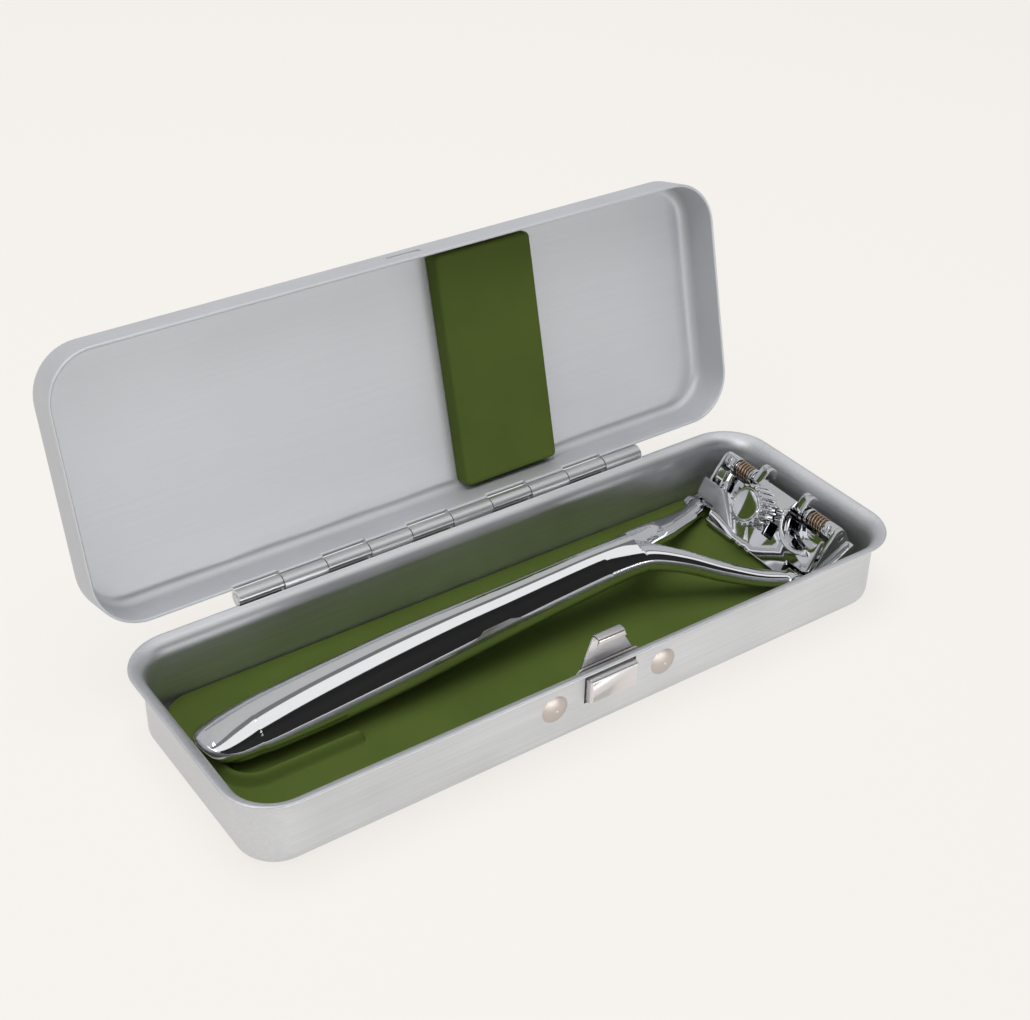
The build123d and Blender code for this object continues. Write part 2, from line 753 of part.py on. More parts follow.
# Rod: the cover's hinge, with a collar against each cheek and a torsion spring beside each ear
with BuildPart() as clamp_rod:
    with BuildSketch(cheek_plane(-rod_length / 2)):
        with Locations((rod_up, rod_out)):
            Circle(rod_radius)
    extrude(amount=rod_length)
keep(clamp_rod, "clamp_rod", in_tray)

with BuildPart() as rod_collars:
    for side, length in (
        (-cheek_inner, collar_length), (cheek_inner - collar_length, collar_length),
        (-washer_side - washer_length / 2, washer_length), (washer_side - washer_length / 2, washer_length),
    ):
        with BuildSketch(cheek_plane(side)):
            with Locations((rod_up, rod_out)):
                Circle(collar_radius)
                Circle(rod_bore, mode=Mode.SUBTRACT)
        extrude(amount=length)
    # A slot across the top of each end collar
    for side in (collar_length / 2 - cheek_inner, cheek_inner - collar_length / 2):
        with BuildSketch(cover_plane(rod_out + collar_radius)):
            with Locations((side, rod_up)):
                Rectangle(collar_slot, 2 * collar_radius)
        extrude(amount=-collar_slot_depth, mode=Mode.SUBTRACT)
keep(rod_collars, "rod_collars", in_tray)

for name, side in (("torsion_spring_left", -spring_side), ("torsion_spring_right", spring_side)):
    with BuildPart() as torsion_spring:
        with BuildLine() as coil:
            Helix(
                pitch=spring_pitch, height=spring_length, radius=coil_radius,
                center=head_point(side - spring_length / 2, rod_up, rod_out), direction=across,
            )
        turns = coil.wire()
        with BuildSketch(Plane(origin=turns @ 0, z_dir=turns % 0)):
            Circle(spring_wire)
        sweep(path=turns, is_frenet=True)
    keep(torsion_spring, name, in_tray)

# Blades: half blades side by side, each on its slat and under its clamp
for index in range(blade_count):
    with BuildPart() as blade:
        with BuildSketch(blade_plane(index, 0)):
            with Locations((0, blade_depth / 2)):
                Rectangle(blade_length, blade_depth)
        extrude(amount=blade_sheet)
    keep(blade, f"blade_{index + 1}", in_tray)
    with BuildPart() as blade_clamp:
        with BuildSketch(blade_plane(index, blade_sheet)):
            with Locations((0, (clamp_back + blade_depth) / 2)):
                Rectangle(clamp_length, blade_depth - clamp_back)
        extrude(amount=clamp_sheet)
    keep(blade_clamp, f"blade_clamp_{index + 1}", in_tray)
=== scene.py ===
"""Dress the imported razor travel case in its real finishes, for a plain studio picture."""

import json
import logging
from abc import ABC, abstractmethod
from dataclasses import dataclass, field
from enum import Enum
from math import cos, pi, radians, sin

import bmesh
import bpy
import numpy as np
from mathutils import Matrix, Vector

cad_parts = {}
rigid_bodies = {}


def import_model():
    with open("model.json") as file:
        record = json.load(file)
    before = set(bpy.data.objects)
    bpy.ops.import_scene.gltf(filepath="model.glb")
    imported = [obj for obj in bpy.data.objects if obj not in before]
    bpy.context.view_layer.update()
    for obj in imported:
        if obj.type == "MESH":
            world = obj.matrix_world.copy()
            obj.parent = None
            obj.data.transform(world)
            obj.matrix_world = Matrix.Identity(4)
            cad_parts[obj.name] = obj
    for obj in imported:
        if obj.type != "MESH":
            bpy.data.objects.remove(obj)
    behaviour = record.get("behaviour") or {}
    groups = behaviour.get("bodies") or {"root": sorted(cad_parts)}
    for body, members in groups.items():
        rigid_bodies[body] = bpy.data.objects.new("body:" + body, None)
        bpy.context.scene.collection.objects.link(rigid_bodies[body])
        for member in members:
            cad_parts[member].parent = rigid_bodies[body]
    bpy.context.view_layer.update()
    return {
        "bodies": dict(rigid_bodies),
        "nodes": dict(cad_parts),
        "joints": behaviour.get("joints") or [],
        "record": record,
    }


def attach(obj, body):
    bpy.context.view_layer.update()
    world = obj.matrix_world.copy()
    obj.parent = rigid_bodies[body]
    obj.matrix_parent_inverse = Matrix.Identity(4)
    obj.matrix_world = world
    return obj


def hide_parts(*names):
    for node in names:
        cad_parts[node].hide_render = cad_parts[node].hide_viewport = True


MM = 0.001
WELD = 1e-6
EVEN_STRETCH = (40.0, 40.0, 40.0)
FINE_SHARE, BROAD_SHARE = 0.55, 0.45
LOG = logging.getLogger("razor_case")

Color = tuple[float, float, float]
Place = tuple[float, float, float]
Socket = bpy.types.NodeSocket
Term = Socket | float | tuple[float, ...]


class Grain(Enum):
    """How the surface of a metal was worked."""

    DRAWN = "drawn"
    SATIN = "satin"
    CAST = "cast"
    POLISHED = "polished"


class Axis(Enum):
    """A direction that a drawn grain runs in, as the stretch of its noise along x, y and z."""

    X = (1.0, 60.0, 60.0)
    Y = (60.0, 1.0, 60.0)


def grid_faces(rows: int, columns: int, wrap_rows: bool = False) -> np.ndarray:
    """Number the corners of every cell of a grid of points.

    Args:
        rows: points along the first parameter.
        columns: points along the second parameter.
        wrap_rows: whether the last row joins the first.

    Returns:
        One row of four point numbers per cell.
    """
    row, column = np.meshgrid(
        np.arange(rows if wrap_rows else rows - 1), np.arange(columns - 1), indexing="ij",
    )
    below, beside = (row + 1) % rows, column + 1
    corners = (
        row * columns + column, below * columns + column, below * columns + beside, row * columns + beside,
    )
    return np.stack(corners, axis=-1).reshape(-1, 4)


def end_caps(rows: int, columns: int) -> list[list[int]]:
    """Close a grid that wraps round, with one face at the start of its profiles and one at their end.

    Args:
        rows: points round the walk.
        columns: points along the profile.

    Returns:
        The point numbers of the two faces.
    """
    starts = [row * columns for row in range(rows)]
    return [starts, [start + columns - 1 for start in starts][::-1]]


def arc_points(
    centre: tuple[float, float], radius: float, start: float, stop: float, count: int,
) -> np.ndarray:
    """Place points on an arc: centre plus radius times (cosine, sine) of an even run of angles.

    Args:
        centre: the arc's centre.
        radius: the arc's radius.
        start: the first angle in degrees.
        stop: the last angle in degrees.
        count: the number of points.

    Returns:
        One row of two coordinates per point.
    """
    angles = np.radians(np.linspace(start, stop, count))
    return np.column_stack((centre[0] + radius * np.cos(angles), centre[1] + radius * np.sin(angles)))


def smooth_curve(places: np.ndarray, knots: np.ndarray, values: np.ndarray) -> np.ndarray:
    """Read a smooth curve through knots: a cubic Hermite span between each pair, with averaged slopes.

    Args:
        places: where to read the curve.
        knots: rising places of the known values.
        values: the known values.

    Returns:
        The curve's value at each place.
    """
    slopes = np.gradient(values, knots)
    span = np.clip(np.searchsorted(knots, places) - 1, 0, len(knots) - 2)
    width = knots[span + 1] - knots[span]
    t = np.clip((places - knots[span]) / width, 0.0, 1.0)
    return (
        values[span] * (2 * t**3 - 3 * t**2 + 1)
        + slopes[span] * width * (t**3 - 2 * t**2 + t)
        + values[span + 1] * (3 * t**2 - 2 * t**3)
        + slopes[span + 1] * width * (t**3 - t**2)
    )


def rounded_walk(
    half_x: float, half_y: float, corner: float, stops: tuple[float, ...] = (), per_corner: int = 14,
) -> tuple[np.ndarray, np.ndarray]:
    """Walk round a rounded rectangle: four straight runs joined by quarter circles.

    Args:
        half_x: half the outline's length.
        half_y: half the outline's width.
        corner: the radius of its corners.
        stops: further places along the front and back runs that get a point of their own.
        per_corner: the number of points on each quarter circle.

    Returns:
        The points and the outward directions, both one row per point.
    """
    run = sorted(set(stops))
    points, normals = [], []
    corners = ((1, -1, -90.0), (1, 1, 0.0), (-1, 1, 90.0), (-1, -1, 180.0))
    for side_x, side_y, start in corners:
        centre = (side_x * (half_x - corner), side_y * (half_y - corner))
        points.append(arc_points(centre, corner, start, start + 90.0, per_corner))
        normals.append(arc_points((0.0, 0.0), 1.0, start, start + 90.0, per_corner))
        if (side_x, side_y) in ((1, 1), (-1, -1)):
            ordered = run[::-1] if side_y > 0 else run
            points.append(np.array([(place, side_y * half_y) for place in ordered]).reshape(-1, 2))
            normals.append(np.array([(0.0, side_y) for _ in ordered]).reshape(-1, 2))
    return np.vstack(points), np.vstack(normals)


def carry_profile(walk: np.ndarray, normals: np.ndarray, profile: np.ndarray) -> np.ndarray:
    """Carry a profile along a flat walk: each point moves out along the walk's normal and up by its height.

    Args:
        walk: the points of the walk.
        normals: its outward directions.
        profile: rows of (distance out, height).

    Returns:
        A grid of points, one row of the grid per point of the walk.
    """
    flat = walk[:, None, :] + normals[:, None, :] * profile[None, :, :1]
    heights = np.broadcast_to(profile[None, :, 1:], flat.shape[:2] + (1,))
    return np.concatenate((flat, heights), axis=2)


class Wiring:
    """The nodes of a material or a world, with short ways to add and join them."""

    def __init__(self, owner: bpy.types.Material | bpy.types.World, cleared: bool = False) -> None:
        """Take hold of the owner's nodes, or start from none."""
        owner.use_nodes = True
        self.nodes, self.links = owner.node_tree.nodes, owner.node_tree.links
        if cleared:
            self.nodes.clear()

    def feed(self, inlet: Socket, term: Term) -> None:
        """Join an output to an input, or set the input's value."""
        if isinstance(term, Socket):
            self.links.new(term, inlet)
        else:
            inlet.default_value = term

    def add(self, kind: str, inputs: dict[str | int, Term] | None = None) -> bpy.types.Node:
        """Add a node of a kind, feed each named or numbered input and give the node."""
        node = self.nodes.new(kind)
        for name, term in (inputs or {}).items():
            self.feed(node.inputs[name], term)
        return node

    def math(self, operation: str, *terms: Term) -> Socket:
        """Work out one operation on its terms and give its output."""
        node = self.add("ShaderNodeMath", dict(enumerate(terms)))
        node.operation = operation
        return node.outputs[0]

    def mix(self, share: Term, first: Term, second: Term) -> Socket:
        """Blend two shaders and give the output."""
        return self.add("ShaderNodeMixShader", {0: share, 1: first, 2: second}).outputs[0]

    def noise(self, place: Term, scale: float, detail: float, roughness: float = 0.5) -> Socket:
        """Give a noise that reads places."""
        inputs = {"Vector": place, "Scale": scale, "Detail": detail, "Roughness": roughness}
        return self.add("ShaderNodeTexNoise", inputs).outputs["Fac"]

    def tones(self, value: Term, span: tuple[float, float], low: Color, high: Color) -> Socket:
        """Turn a value into a colour: low at the span's start, high at its end."""
        node = self.add("ShaderNodeValToRGB", {"Fac": value})
        for element, position, color in zip(node.color_ramp.elements, span, (low, high)):
            element.position, element.color = position, color + (1.0,)
        return node.outputs["Color"]

    def between(self, value: Term, span: tuple[float, float], low: float, high: float) -> Socket:
        """Turn a value into a number: low at the span's start, high at its end."""
        inputs = {"Value": value, "From Min": span[0], "From Max": span[1], "To Min": low, "To Max": high}
        return self.add("ShaderNodeMapRange", inputs).outputs["Result"]

    def bump(self, height: Term, strength: float, depth: float) -> Socket:
        """Turn a height into a slope of the surface."""
        inputs = {"Height": height, "Strength": strength, "Distance": depth}
        return self.add("ShaderNodeBump", inputs).outputs["Normal"]


def scaled(color: Color, factor: float) -> Color:
    """Darken a colour, or lighten it as far as white."""
    return tuple(min(1.0, part * factor) for part in color)


@dataclass(frozen=True)
class Finish(ABC):
    """What a piece is made of: the record's slot, and a middle colour and roughness that noise varies."""

    name: str
    slot: str
    color: Color
    roughness: float

    def material(self) -> bpy.types.Material:
        """Build the finish once and return it."""
        title = f"{self.name}_finish"
        if title in bpy.data.materials:
            return bpy.data.materials[title]
        made = bpy.data.materials.new(title)
        tree = Wiring(made)
        shader = tree.nodes["Principled BSDF"]
        for name, term in self.surface(tree).items():
            tree.feed(shader.inputs[name], term)
        return made

    @abstractmethod
    def surface(self, tree: Wiring) -> dict[str, Term]:
        """Make what goes into each input of the shader."""


@dataclass(frozen=True)
class Metal(Finish):
    """A bare or plated metal, whose grain moves the roughness, the tone and the relief together.

    The grain is noise, stretched along the axis where the metal is drawn or satin. The tone says how
    far the colour strays, and the spread how far the roughness does, end to end.
    """

    grain: Grain
    axis: Axis = Axis.X
    fineness: float = 22.5
    relief: float = 0.03
    tone: float = 0.06
    spread: float = 0.08
    metallic: float = 1.0

    def surface(self, tree: Wiring) -> dict[str, Term]:
        """Make what goes into each input of the shader."""
        place = tree.add("ShaderNodeTexCoord").outputs["Object"]
        stretch = self.axis.value if self.grain in (Grain.DRAWN, Grain.SATIN) else EVEN_STRETCH
        along = tree.add("ShaderNodeMapping", {"Vector": place, "Scale": stretch}).outputs["Vector"]
        fine = tree.noise(along, self.fineness, detail=5.0, roughness=0.62)
        broad = tree.math("MULTIPLY", tree.noise(place, scale=45.0, detail=3.0), BROAD_SHARE)
        worked = tree.math("MULTIPLY_ADD", fine, FINE_SHARE, broad)
        low, high = scaled(self.color, 1.0 - self.tone), scaled(self.color, 1.0 + 0.5 * self.tone)
        smoothest = max(0.01, self.roughness - self.spread / 2)
        return {
            "Metallic": self.metallic,
            "Base Color": tree.tones(worked, (0.32, 0.68), low, high),
            "Roughness": tree.between(worked, (0.3, 0.7), smoothest, self.roughness + self.spread / 2),
            "Normal": tree.bump(fine, self.relief, 0.1 * MM),
        }


@dataclass(frozen=True)
class Silicone(Finish):
    """A matt moulded rubber: a mottled tone, a fine gritty skin and a low index for a dull face."""

    mottle: float = 0.07
    skin: float = 0.1
    spread: float = 0.06
    index: float = 1.12

    def surface(self, tree: Wiring) -> dict[str, Term]:
        """Make what goes into each input of the shader."""
        place = tree.add("ShaderNodeTexCoord").outputs["Object"]
        cloud = tree.noise(place, scale=55.0, detail=4.0)
        grit = tree.noise(place, scale=2200.0, detail=2.0)
        low, high = scaled(self.color, 1.0 - self.mottle), scaled(self.color, 1.0 + self.mottle)
        rough = (self.roughness - self.spread, self.roughness + self.spread)
        return {
            "IOR": self.index,
            "Base Color": tree.tones(cloud, (0.3, 0.7), low, high),
            "Roughness": tree.between(cloud, (0.0, 1.0), *rough),
            "Normal": tree.bump(grit, self.skin, 0.05 * MM),
        }


SATIN_TRAY = Metal(
    "satin_tray", "satin_aluminium", (0.67, 0.68, 0.70), 0.46, Grain.SATIN,
    relief=0.12, tone=0.12, metallic=0.95,
)
SATIN_LID = Metal(
    "satin_lid", "satin_aluminium", (0.61, 0.62, 0.64), 0.55, Grain.SATIN, relief=0.06, metallic=0.65,
)
ROLLED_ALUMINIUM = Metal("rolled_aluminium", "bright_aluminium", (0.68, 0.69, 0.70), 0.4, Grain.DRAWN)
PIN_STEEL = Metal("pin_steel", "steel_pin", (0.6, 0.6, 0.6), 0.3, Grain.DRAWN)
NICKEL = Metal("nickel", "nickel", (0.74, 0.72, 0.72), 0.4, Grain.DRAWN)
SPRING_STRIP = Metal("spring_strip", "spring_steel", (0.68, 0.66, 0.66), 0.28, Grain.DRAWN)
RIVET_NICKEL = Metal("rivet_nickel", "rivet_nickel", (0.57, 0.515, 0.48), 0.42, Grain.CAST)
CHROME = Metal(
    "mirror_chrome", "mirror_chrome", (0.80, 0.81, 0.83), 0.045, Grain.POLISHED,
    relief=0.0, tone=0.02, spread=0.03,
)
BRONZE_WIRE = Metal("bronze_wire", "spring_bronze", (0.45, 0.34, 0.25), 0.25, Grain.DRAWN, axis=Axis.Y)
BLADE_STEEL = Metal("blade_steel", "blade_steel", (0.55, 0.56, 0.58), 0.22, Grain.DRAWN, axis=Axis.Y)
GREEN_SILICONE = Silicone("green_silicone", "green_silicone", (0.076, 0.109, 0.0225), 0.6)


def put_piece(
    name: str, points: np.ndarray, faces: list[list[int]], finish: Finish, body: str,
    stands_for: tuple[str, ...] = (), crease: float = 32.0,
) -> bpy.types.Object:
    """Make a mesh piece from its points, give it its finish and let it ride on its body.

    Args:
        name: the piece's name.
        points: its points in metres.
        faces: point numbers of each face.
        finish: what it is made of.
        body: the body that carries it.
        stands_for: the nodes that it replaces.
        crease: edges sharper than this many degrees stay crisp.

    Returns:
        The new object.
    """
    mesh = bpy.data.meshes.new(name)
    mesh.from_pydata(points.tolist(), [], faces)
    mesh.validate()
    mesh.update()
    piece = bpy.data.objects.new(name, mesh)
    bpy.context.scene.collection.objects.link(piece)
    dress_piece(piece, finish, crease)
    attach(piece, body)
    if stands_for:
        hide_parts(*stands_for)
    LOG.info("%s: %d points on %s", name, len(points), body)
    return piece


def dress_piece(piece: bpy.types.Object, finish: Finish, crease: float) -> None:
    """Give a piece its material and its shading, crisp at edges over so many degrees."""
    piece.data.materials.clear()
    piece.data.materials.append(finish.material())
    piece.data.shade_smooth()
    piece.data.set_sharp_from_angle(angle=radians(crease))


def welded_copy(
    node: str, finish: Finish, body: str, frame: dict, bevel: float = 0.0, crease: float = 28.0,
) -> None:
    """Copy a node's mesh, weld it, merge its flat faces, ease its edges and put it in the node's place.

    Args:
        node: the node to copy.
        finish: what it is made of.
        body: the body that carries it.
        frame: the loaded frame.
        bevel: how far the crisp edges are eased, in metres. With none, the flat faces stay as they are.
        crease: edges sharper than this many degrees stay crisp.
    """
    name = f"{node}_skin"
    piece = bpy.data.objects.new(name, frame["nodes"][node].data.copy())
    piece.data.name = name
    bpy.context.scene.collection.objects.link(piece)
    work = bmesh.new()
    work.from_mesh(piece.data)
    bmesh.ops.remove_doubles(work, verts=work.verts, dist=WELD)
    if bevel:
        bmesh.ops.dissolve_limit(work, angle_limit=radians(0.8), verts=work.verts, edges=work.edges)
        crisp = [
            edge for edge in work.edges
            if len(edge.link_faces) == 2 and edge.calc_face_angle() > radians(crease)
        ]
        bmesh.ops.bevel(
            work, geom=crisp, offset=bevel, segments=2, profile=0.6, affect="EDGES", clamp_overlap=True
        )
    work.to_mesh(piece.data)
    work.free()
    dress_piece(piece, finish, crease + 10.0 if bevel else crease)
    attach(piece, body)
    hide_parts(node)
    LOG.info("%s: copied from its node on %s", name, body)


@dataclass
class Opening:
    """A rectangular hole through a wall: its middle, its width and its height, in metres."""

    middle: tuple[float, float]
    width: float
    height: float

    def sides(self) -> tuple[float, float]:
        """Give the places of its left and right sides."""
        return self.middle[0] - self.width / 2, self.middle[0] + self.width / 2

    def levels(self) -> tuple[float, float]:
        """Give the heights of its lower and upper edges."""
        return self.middle[1] - self.height / 2, self.middle[1] + self.height / 2


@dataclass
class Shell:
    """A pressed sheet shell: one closed profile carried round a rounded rectangle, with a flat floor.

    Args:
        half_x: half the length of the walk.
        half_y: half its width.
        corner: its corner radius.
        outer: profile of the outer skin from the floor's edge to the rim.
        inner: profile of the inner skin from the rim to the floor's edge.
        hole: the opening in the front wall.
    """

    half_x: float
    half_y: float
    corner: float
    outer: np.ndarray
    inner: np.ndarray
    hole: Opening

    def mesh(self, stops: tuple[float, ...] = ()) -> tuple[np.ndarray, list[list[int]]]:
        """Work the shell out as a grid of walk points by profile points, less the cells of its hole.

        Args:
            stops: further places along the long walls that get a point of their own.

        Returns:
            The grid of points and the faces.
        """
        left, right = self.hole.sides()
        low, high = self.hole.levels()
        walk, normals = rounded_walk(self.half_x, self.half_y, self.corner, (left, right) + stops)
        profile = np.vstack((self.outer, self.inner))
        grid = carry_profile(walk, normals, profile)
        rows, columns = grid.shape[:2]
        cells = grid_faces(rows, columns, wrap_rows=True)
        row, column = cells[:, 0] // columns, cells[:, 0] % columns
        front = walk[:, 1] < 0
        start = int(np.flatnonzero(front & np.isclose(walk[:, 0], left))[0])
        stop = int(np.flatnonzero(front & np.isclose(walk[:, 0], right))[0])
        first, second = min(start, stop), max(start, stop)
        on_low = np.flatnonzero(np.isclose(profile[:, 1], low))
        on_high = np.flatnonzero(np.isclose(profile[:, 1], high))
        skins = [sorted(pair) for pair in zip(sorted(on_low), sorted(on_high))]
        cut = np.zeros(len(cells), bool)
        for below, above in skins:
            cut |= (row >= first) & (row < second) & (column >= below) & (column < above)
        faces = cells[~cut].tolist()
        (outer_a, outer_b), (inner_a, inner_b) = skins[0], skins[-1]
        for at in (first, second):
            places = (*range(outer_a, outer_b + 1), *range(inner_a, inner_b + 1))
            ring = [at * columns + place for place in places]
            faces.append(ring if at == first else ring[::-1])
        for here, there in ((outer_b, inner_a), (inner_b, outer_a)):
            faces.append([
                first * columns + here, second * columns + here,
                second * columns + there, first * columns + there,
            ])
        return grid, faces + end_caps(rows, columns)


@dataclass
class Case:
    """The pressed tray and lid, with their hinge, in metres and drawn with the lid shut.

    The window is the button's hole in the tray and the slot is the hook's hole in the lid. The
    notches are what the lip and the lid's edge give up to the knuckles of the hinge.
    """

    frame: dict
    sheet: float = 0.8 * MM
    lip_flare: float = 2.75 * MM
    lip_radius: float = 3.4 * MM
    floor_fillet: float = 3.8 * MM
    rim_height: float = 20.8 * MM
    rim_corner: float = 12.8 * MM
    rim_width: float = 67.4 * MM
    rim_length: float = 190.0 * MM
    lid_depth: float = 12.8 * MM
    lid_corner: float = 12.6 * MM
    lid_fillet: float = 3.5 * MM
    lid_gap: float = 0.3 * MM
    flat_margin: float = 0.6 * MM
    window: Opening = field(default_factory=lambda: Opening((1.3 * MM, 13.475 * MM), 15.0 * MM, 8.25 * MM))
    slot: Opening = field(default_factory=lambda: Opening((1.3 * MM, 26.3 * MM), 9.6 * MM, 1.8 * MM))
    hinge_half: float = 61.5 * MM
    knuckle: float = 12.3 * MM
    knuckles: int = 10
    knuckle_play: float = 0.3 * MM
    lip_notch: float = 0.5 * MM
    lid_notch: float = 1.3 * MM
    fillet_points: int = 11
    bend_points: int = 5
    edge_points: int = 7

    def open_lid(self, points: np.ndarray) -> np.ndarray:
        """Turn points drawn on the shut lid about the hinge to where the lid stands at rest.

        Args:
            points: places in metres on the shut lid.

        Returns:
            The same points on the open lid.
        """
        joint = next(one for one in self.frame["joints"] if one["name"] == "lid_hinge")
        turn = -radians(joint["range_deg"][1])
        across, up = joint["pos_m"][1:]
        turned = points.copy()
        flat, high = points[..., 1] - across, points[..., 2] - up
        turned[..., 1] = across + flat * cos(turn) - high * sin(turn)
        turned[..., 2] = up + flat * sin(turn) + high * cos(turn)
        return turned

    def tray(self) -> None:
        """Make the tray: a filleted floor edge, a straight wall and a flared lip whose edge is rounded."""
        half_x = self.rim_length / 2 - self.lip_flare
        half_y = self.rim_width / 2 - self.lip_flare
        corner = self.rim_corner - self.lip_flare
        turn = np.degrees(np.arccos(1 - self.lip_flare / self.lip_radius))
        start = self.rim_height - (self.lip_radius + self.sheet) * sin(radians(turn))
        low, high = self.window.levels()
        fillet = self.floor_fillet
        bend, thick = (self.lip_radius, start), self.lip_radius + self.sheet
        middle = self.lip_radius + self.sheet / 2
        edge_middle = (self.lip_radius - middle * cos(radians(turn)), start + middle * sin(radians(turn)))
        cut_out = 180 - np.degrees(np.arcsin((high - start) / self.lip_radius))
        cut_in = 180 - np.degrees(np.arcsin((high - start) / thick))
        outer = np.vstack((
            [(-fillet - self.flat_margin, 0.0)],
            arc_points((-fillet, fillet), fillet, -90, 0, self.fillet_points),
            [(0.0, low)],
            arc_points(bend, self.lip_radius, 180, cut_out, self.bend_points),
            arc_points(bend, self.lip_radius, cut_out, 180 - turn, self.fillet_points)[1:-1],
            arc_points(edge_middle, self.sheet / 2, -turn, 180.0 - turn, self.edge_points),
        ))
        inner = np.vstack((
            arc_points(bend, thick, 180 - turn, cut_in, self.fillet_points)[1:],
            arc_points(bend, thick, cut_in, 180, self.bend_points)[1:],
            [(-self.sheet, low)],
            arc_points((-fillet, fillet), fillet - self.sheet, 0, -90, self.fillet_points),
            [(-fillet - self.flat_margin, self.sheet)],
        ))
        shell = Shell(half_x, half_y, corner, outer, inner, self.window)
        notch_end = self.hinge_half + self.knuckle_play
        grid, faces = shell.mesh((-notch_end - WELD, -notch_end, notch_end, notch_end + WELD))
        behind = (np.abs(grid[..., 0]) <= notch_end + WELD / 2) & (grid[..., 1] > 0)
        limit = self.rim_width / 2 - self.lip_notch
        grid[..., 1] = np.where(behind, np.minimum(grid[..., 1], limit), grid[..., 1])
        put_piece("tray_shell", grid.reshape(-1, 3), faces, SATIN_TRAY, "base", ("base_tray",))

    def lid(self) -> None:
        """Make the lid: a filleted panel edge and a straight wall with a rounded rim, turned open."""
        half_x = self.rim_length / 2 + self.lid_gap
        half_y = self.rim_width / 2
        foot = self.rim_height + self.lid_gap
        top = foot + self.lid_depth
        low, high = self.slot.levels()
        fillet = self.lid_fillet
        outer = np.vstack((
            [(-fillet - self.flat_margin, top)],
            arc_points((-fillet, top - fillet), fillet, 90, 0, self.fillet_points),
            [(0.0, high), (0.0, low)],
            arc_points((-self.sheet / 2, foot + self.sheet / 2), self.sheet / 2, 0, -180, self.edge_points),
        ))
        inner = np.vstack((
            [(-self.sheet, low), (-self.sheet, high)],
            arc_points((-fillet, top - fillet), fillet - self.sheet, 0, 90, self.fillet_points),
            [(-fillet - self.flat_margin, top - self.sheet)],
        ))
        shell = Shell(half_x, half_y, self.lid_corner, outer, inner, self.slot)
        play = self.knuckle_play
        starts = [-self.hinge_half + index * self.knuckle - play / 2 for index in range(0, self.knuckles, 2)]
        spans = [(start + play / 2, start + self.knuckle + play) for start in starts]
        stops = tuple(stop for first, last in spans for stop in (first - WELD, first, last, last + WELD))
        grid, faces = shell.mesh(stops)
        for first, last in spans:
            over = (grid[..., 0] > first - WELD / 2) & (grid[..., 0] < last + WELD / 2) & (grid[..., 1] > 0)
            rim = over & (grid[..., 2] < foot + self.sheet)
            grid[..., 2] = np.where(rim, grid[..., 2] + self.lid_notch, grid[..., 2])
        points = self.open_lid(grid.reshape(-1, 3))
        faces = [face[::-1] for face in faces]
        put_piece("lid_pressing", points, faces, SATIN_LID, "lid", ("lid_shell",))

    def hinge(self) -> None:
        """Dress the two rolled leaves and the pin."""
        welded_copy("hinge_leaf_base", ROLLED_ALUMINIUM, "base", self.frame)
        welded_copy("hinge_leaf_lid", ROLLED_ALUMINIUM, "lid", self.frame)
        welded_copy("hinge_pin", PIN_STEEL, "base", self.frame)


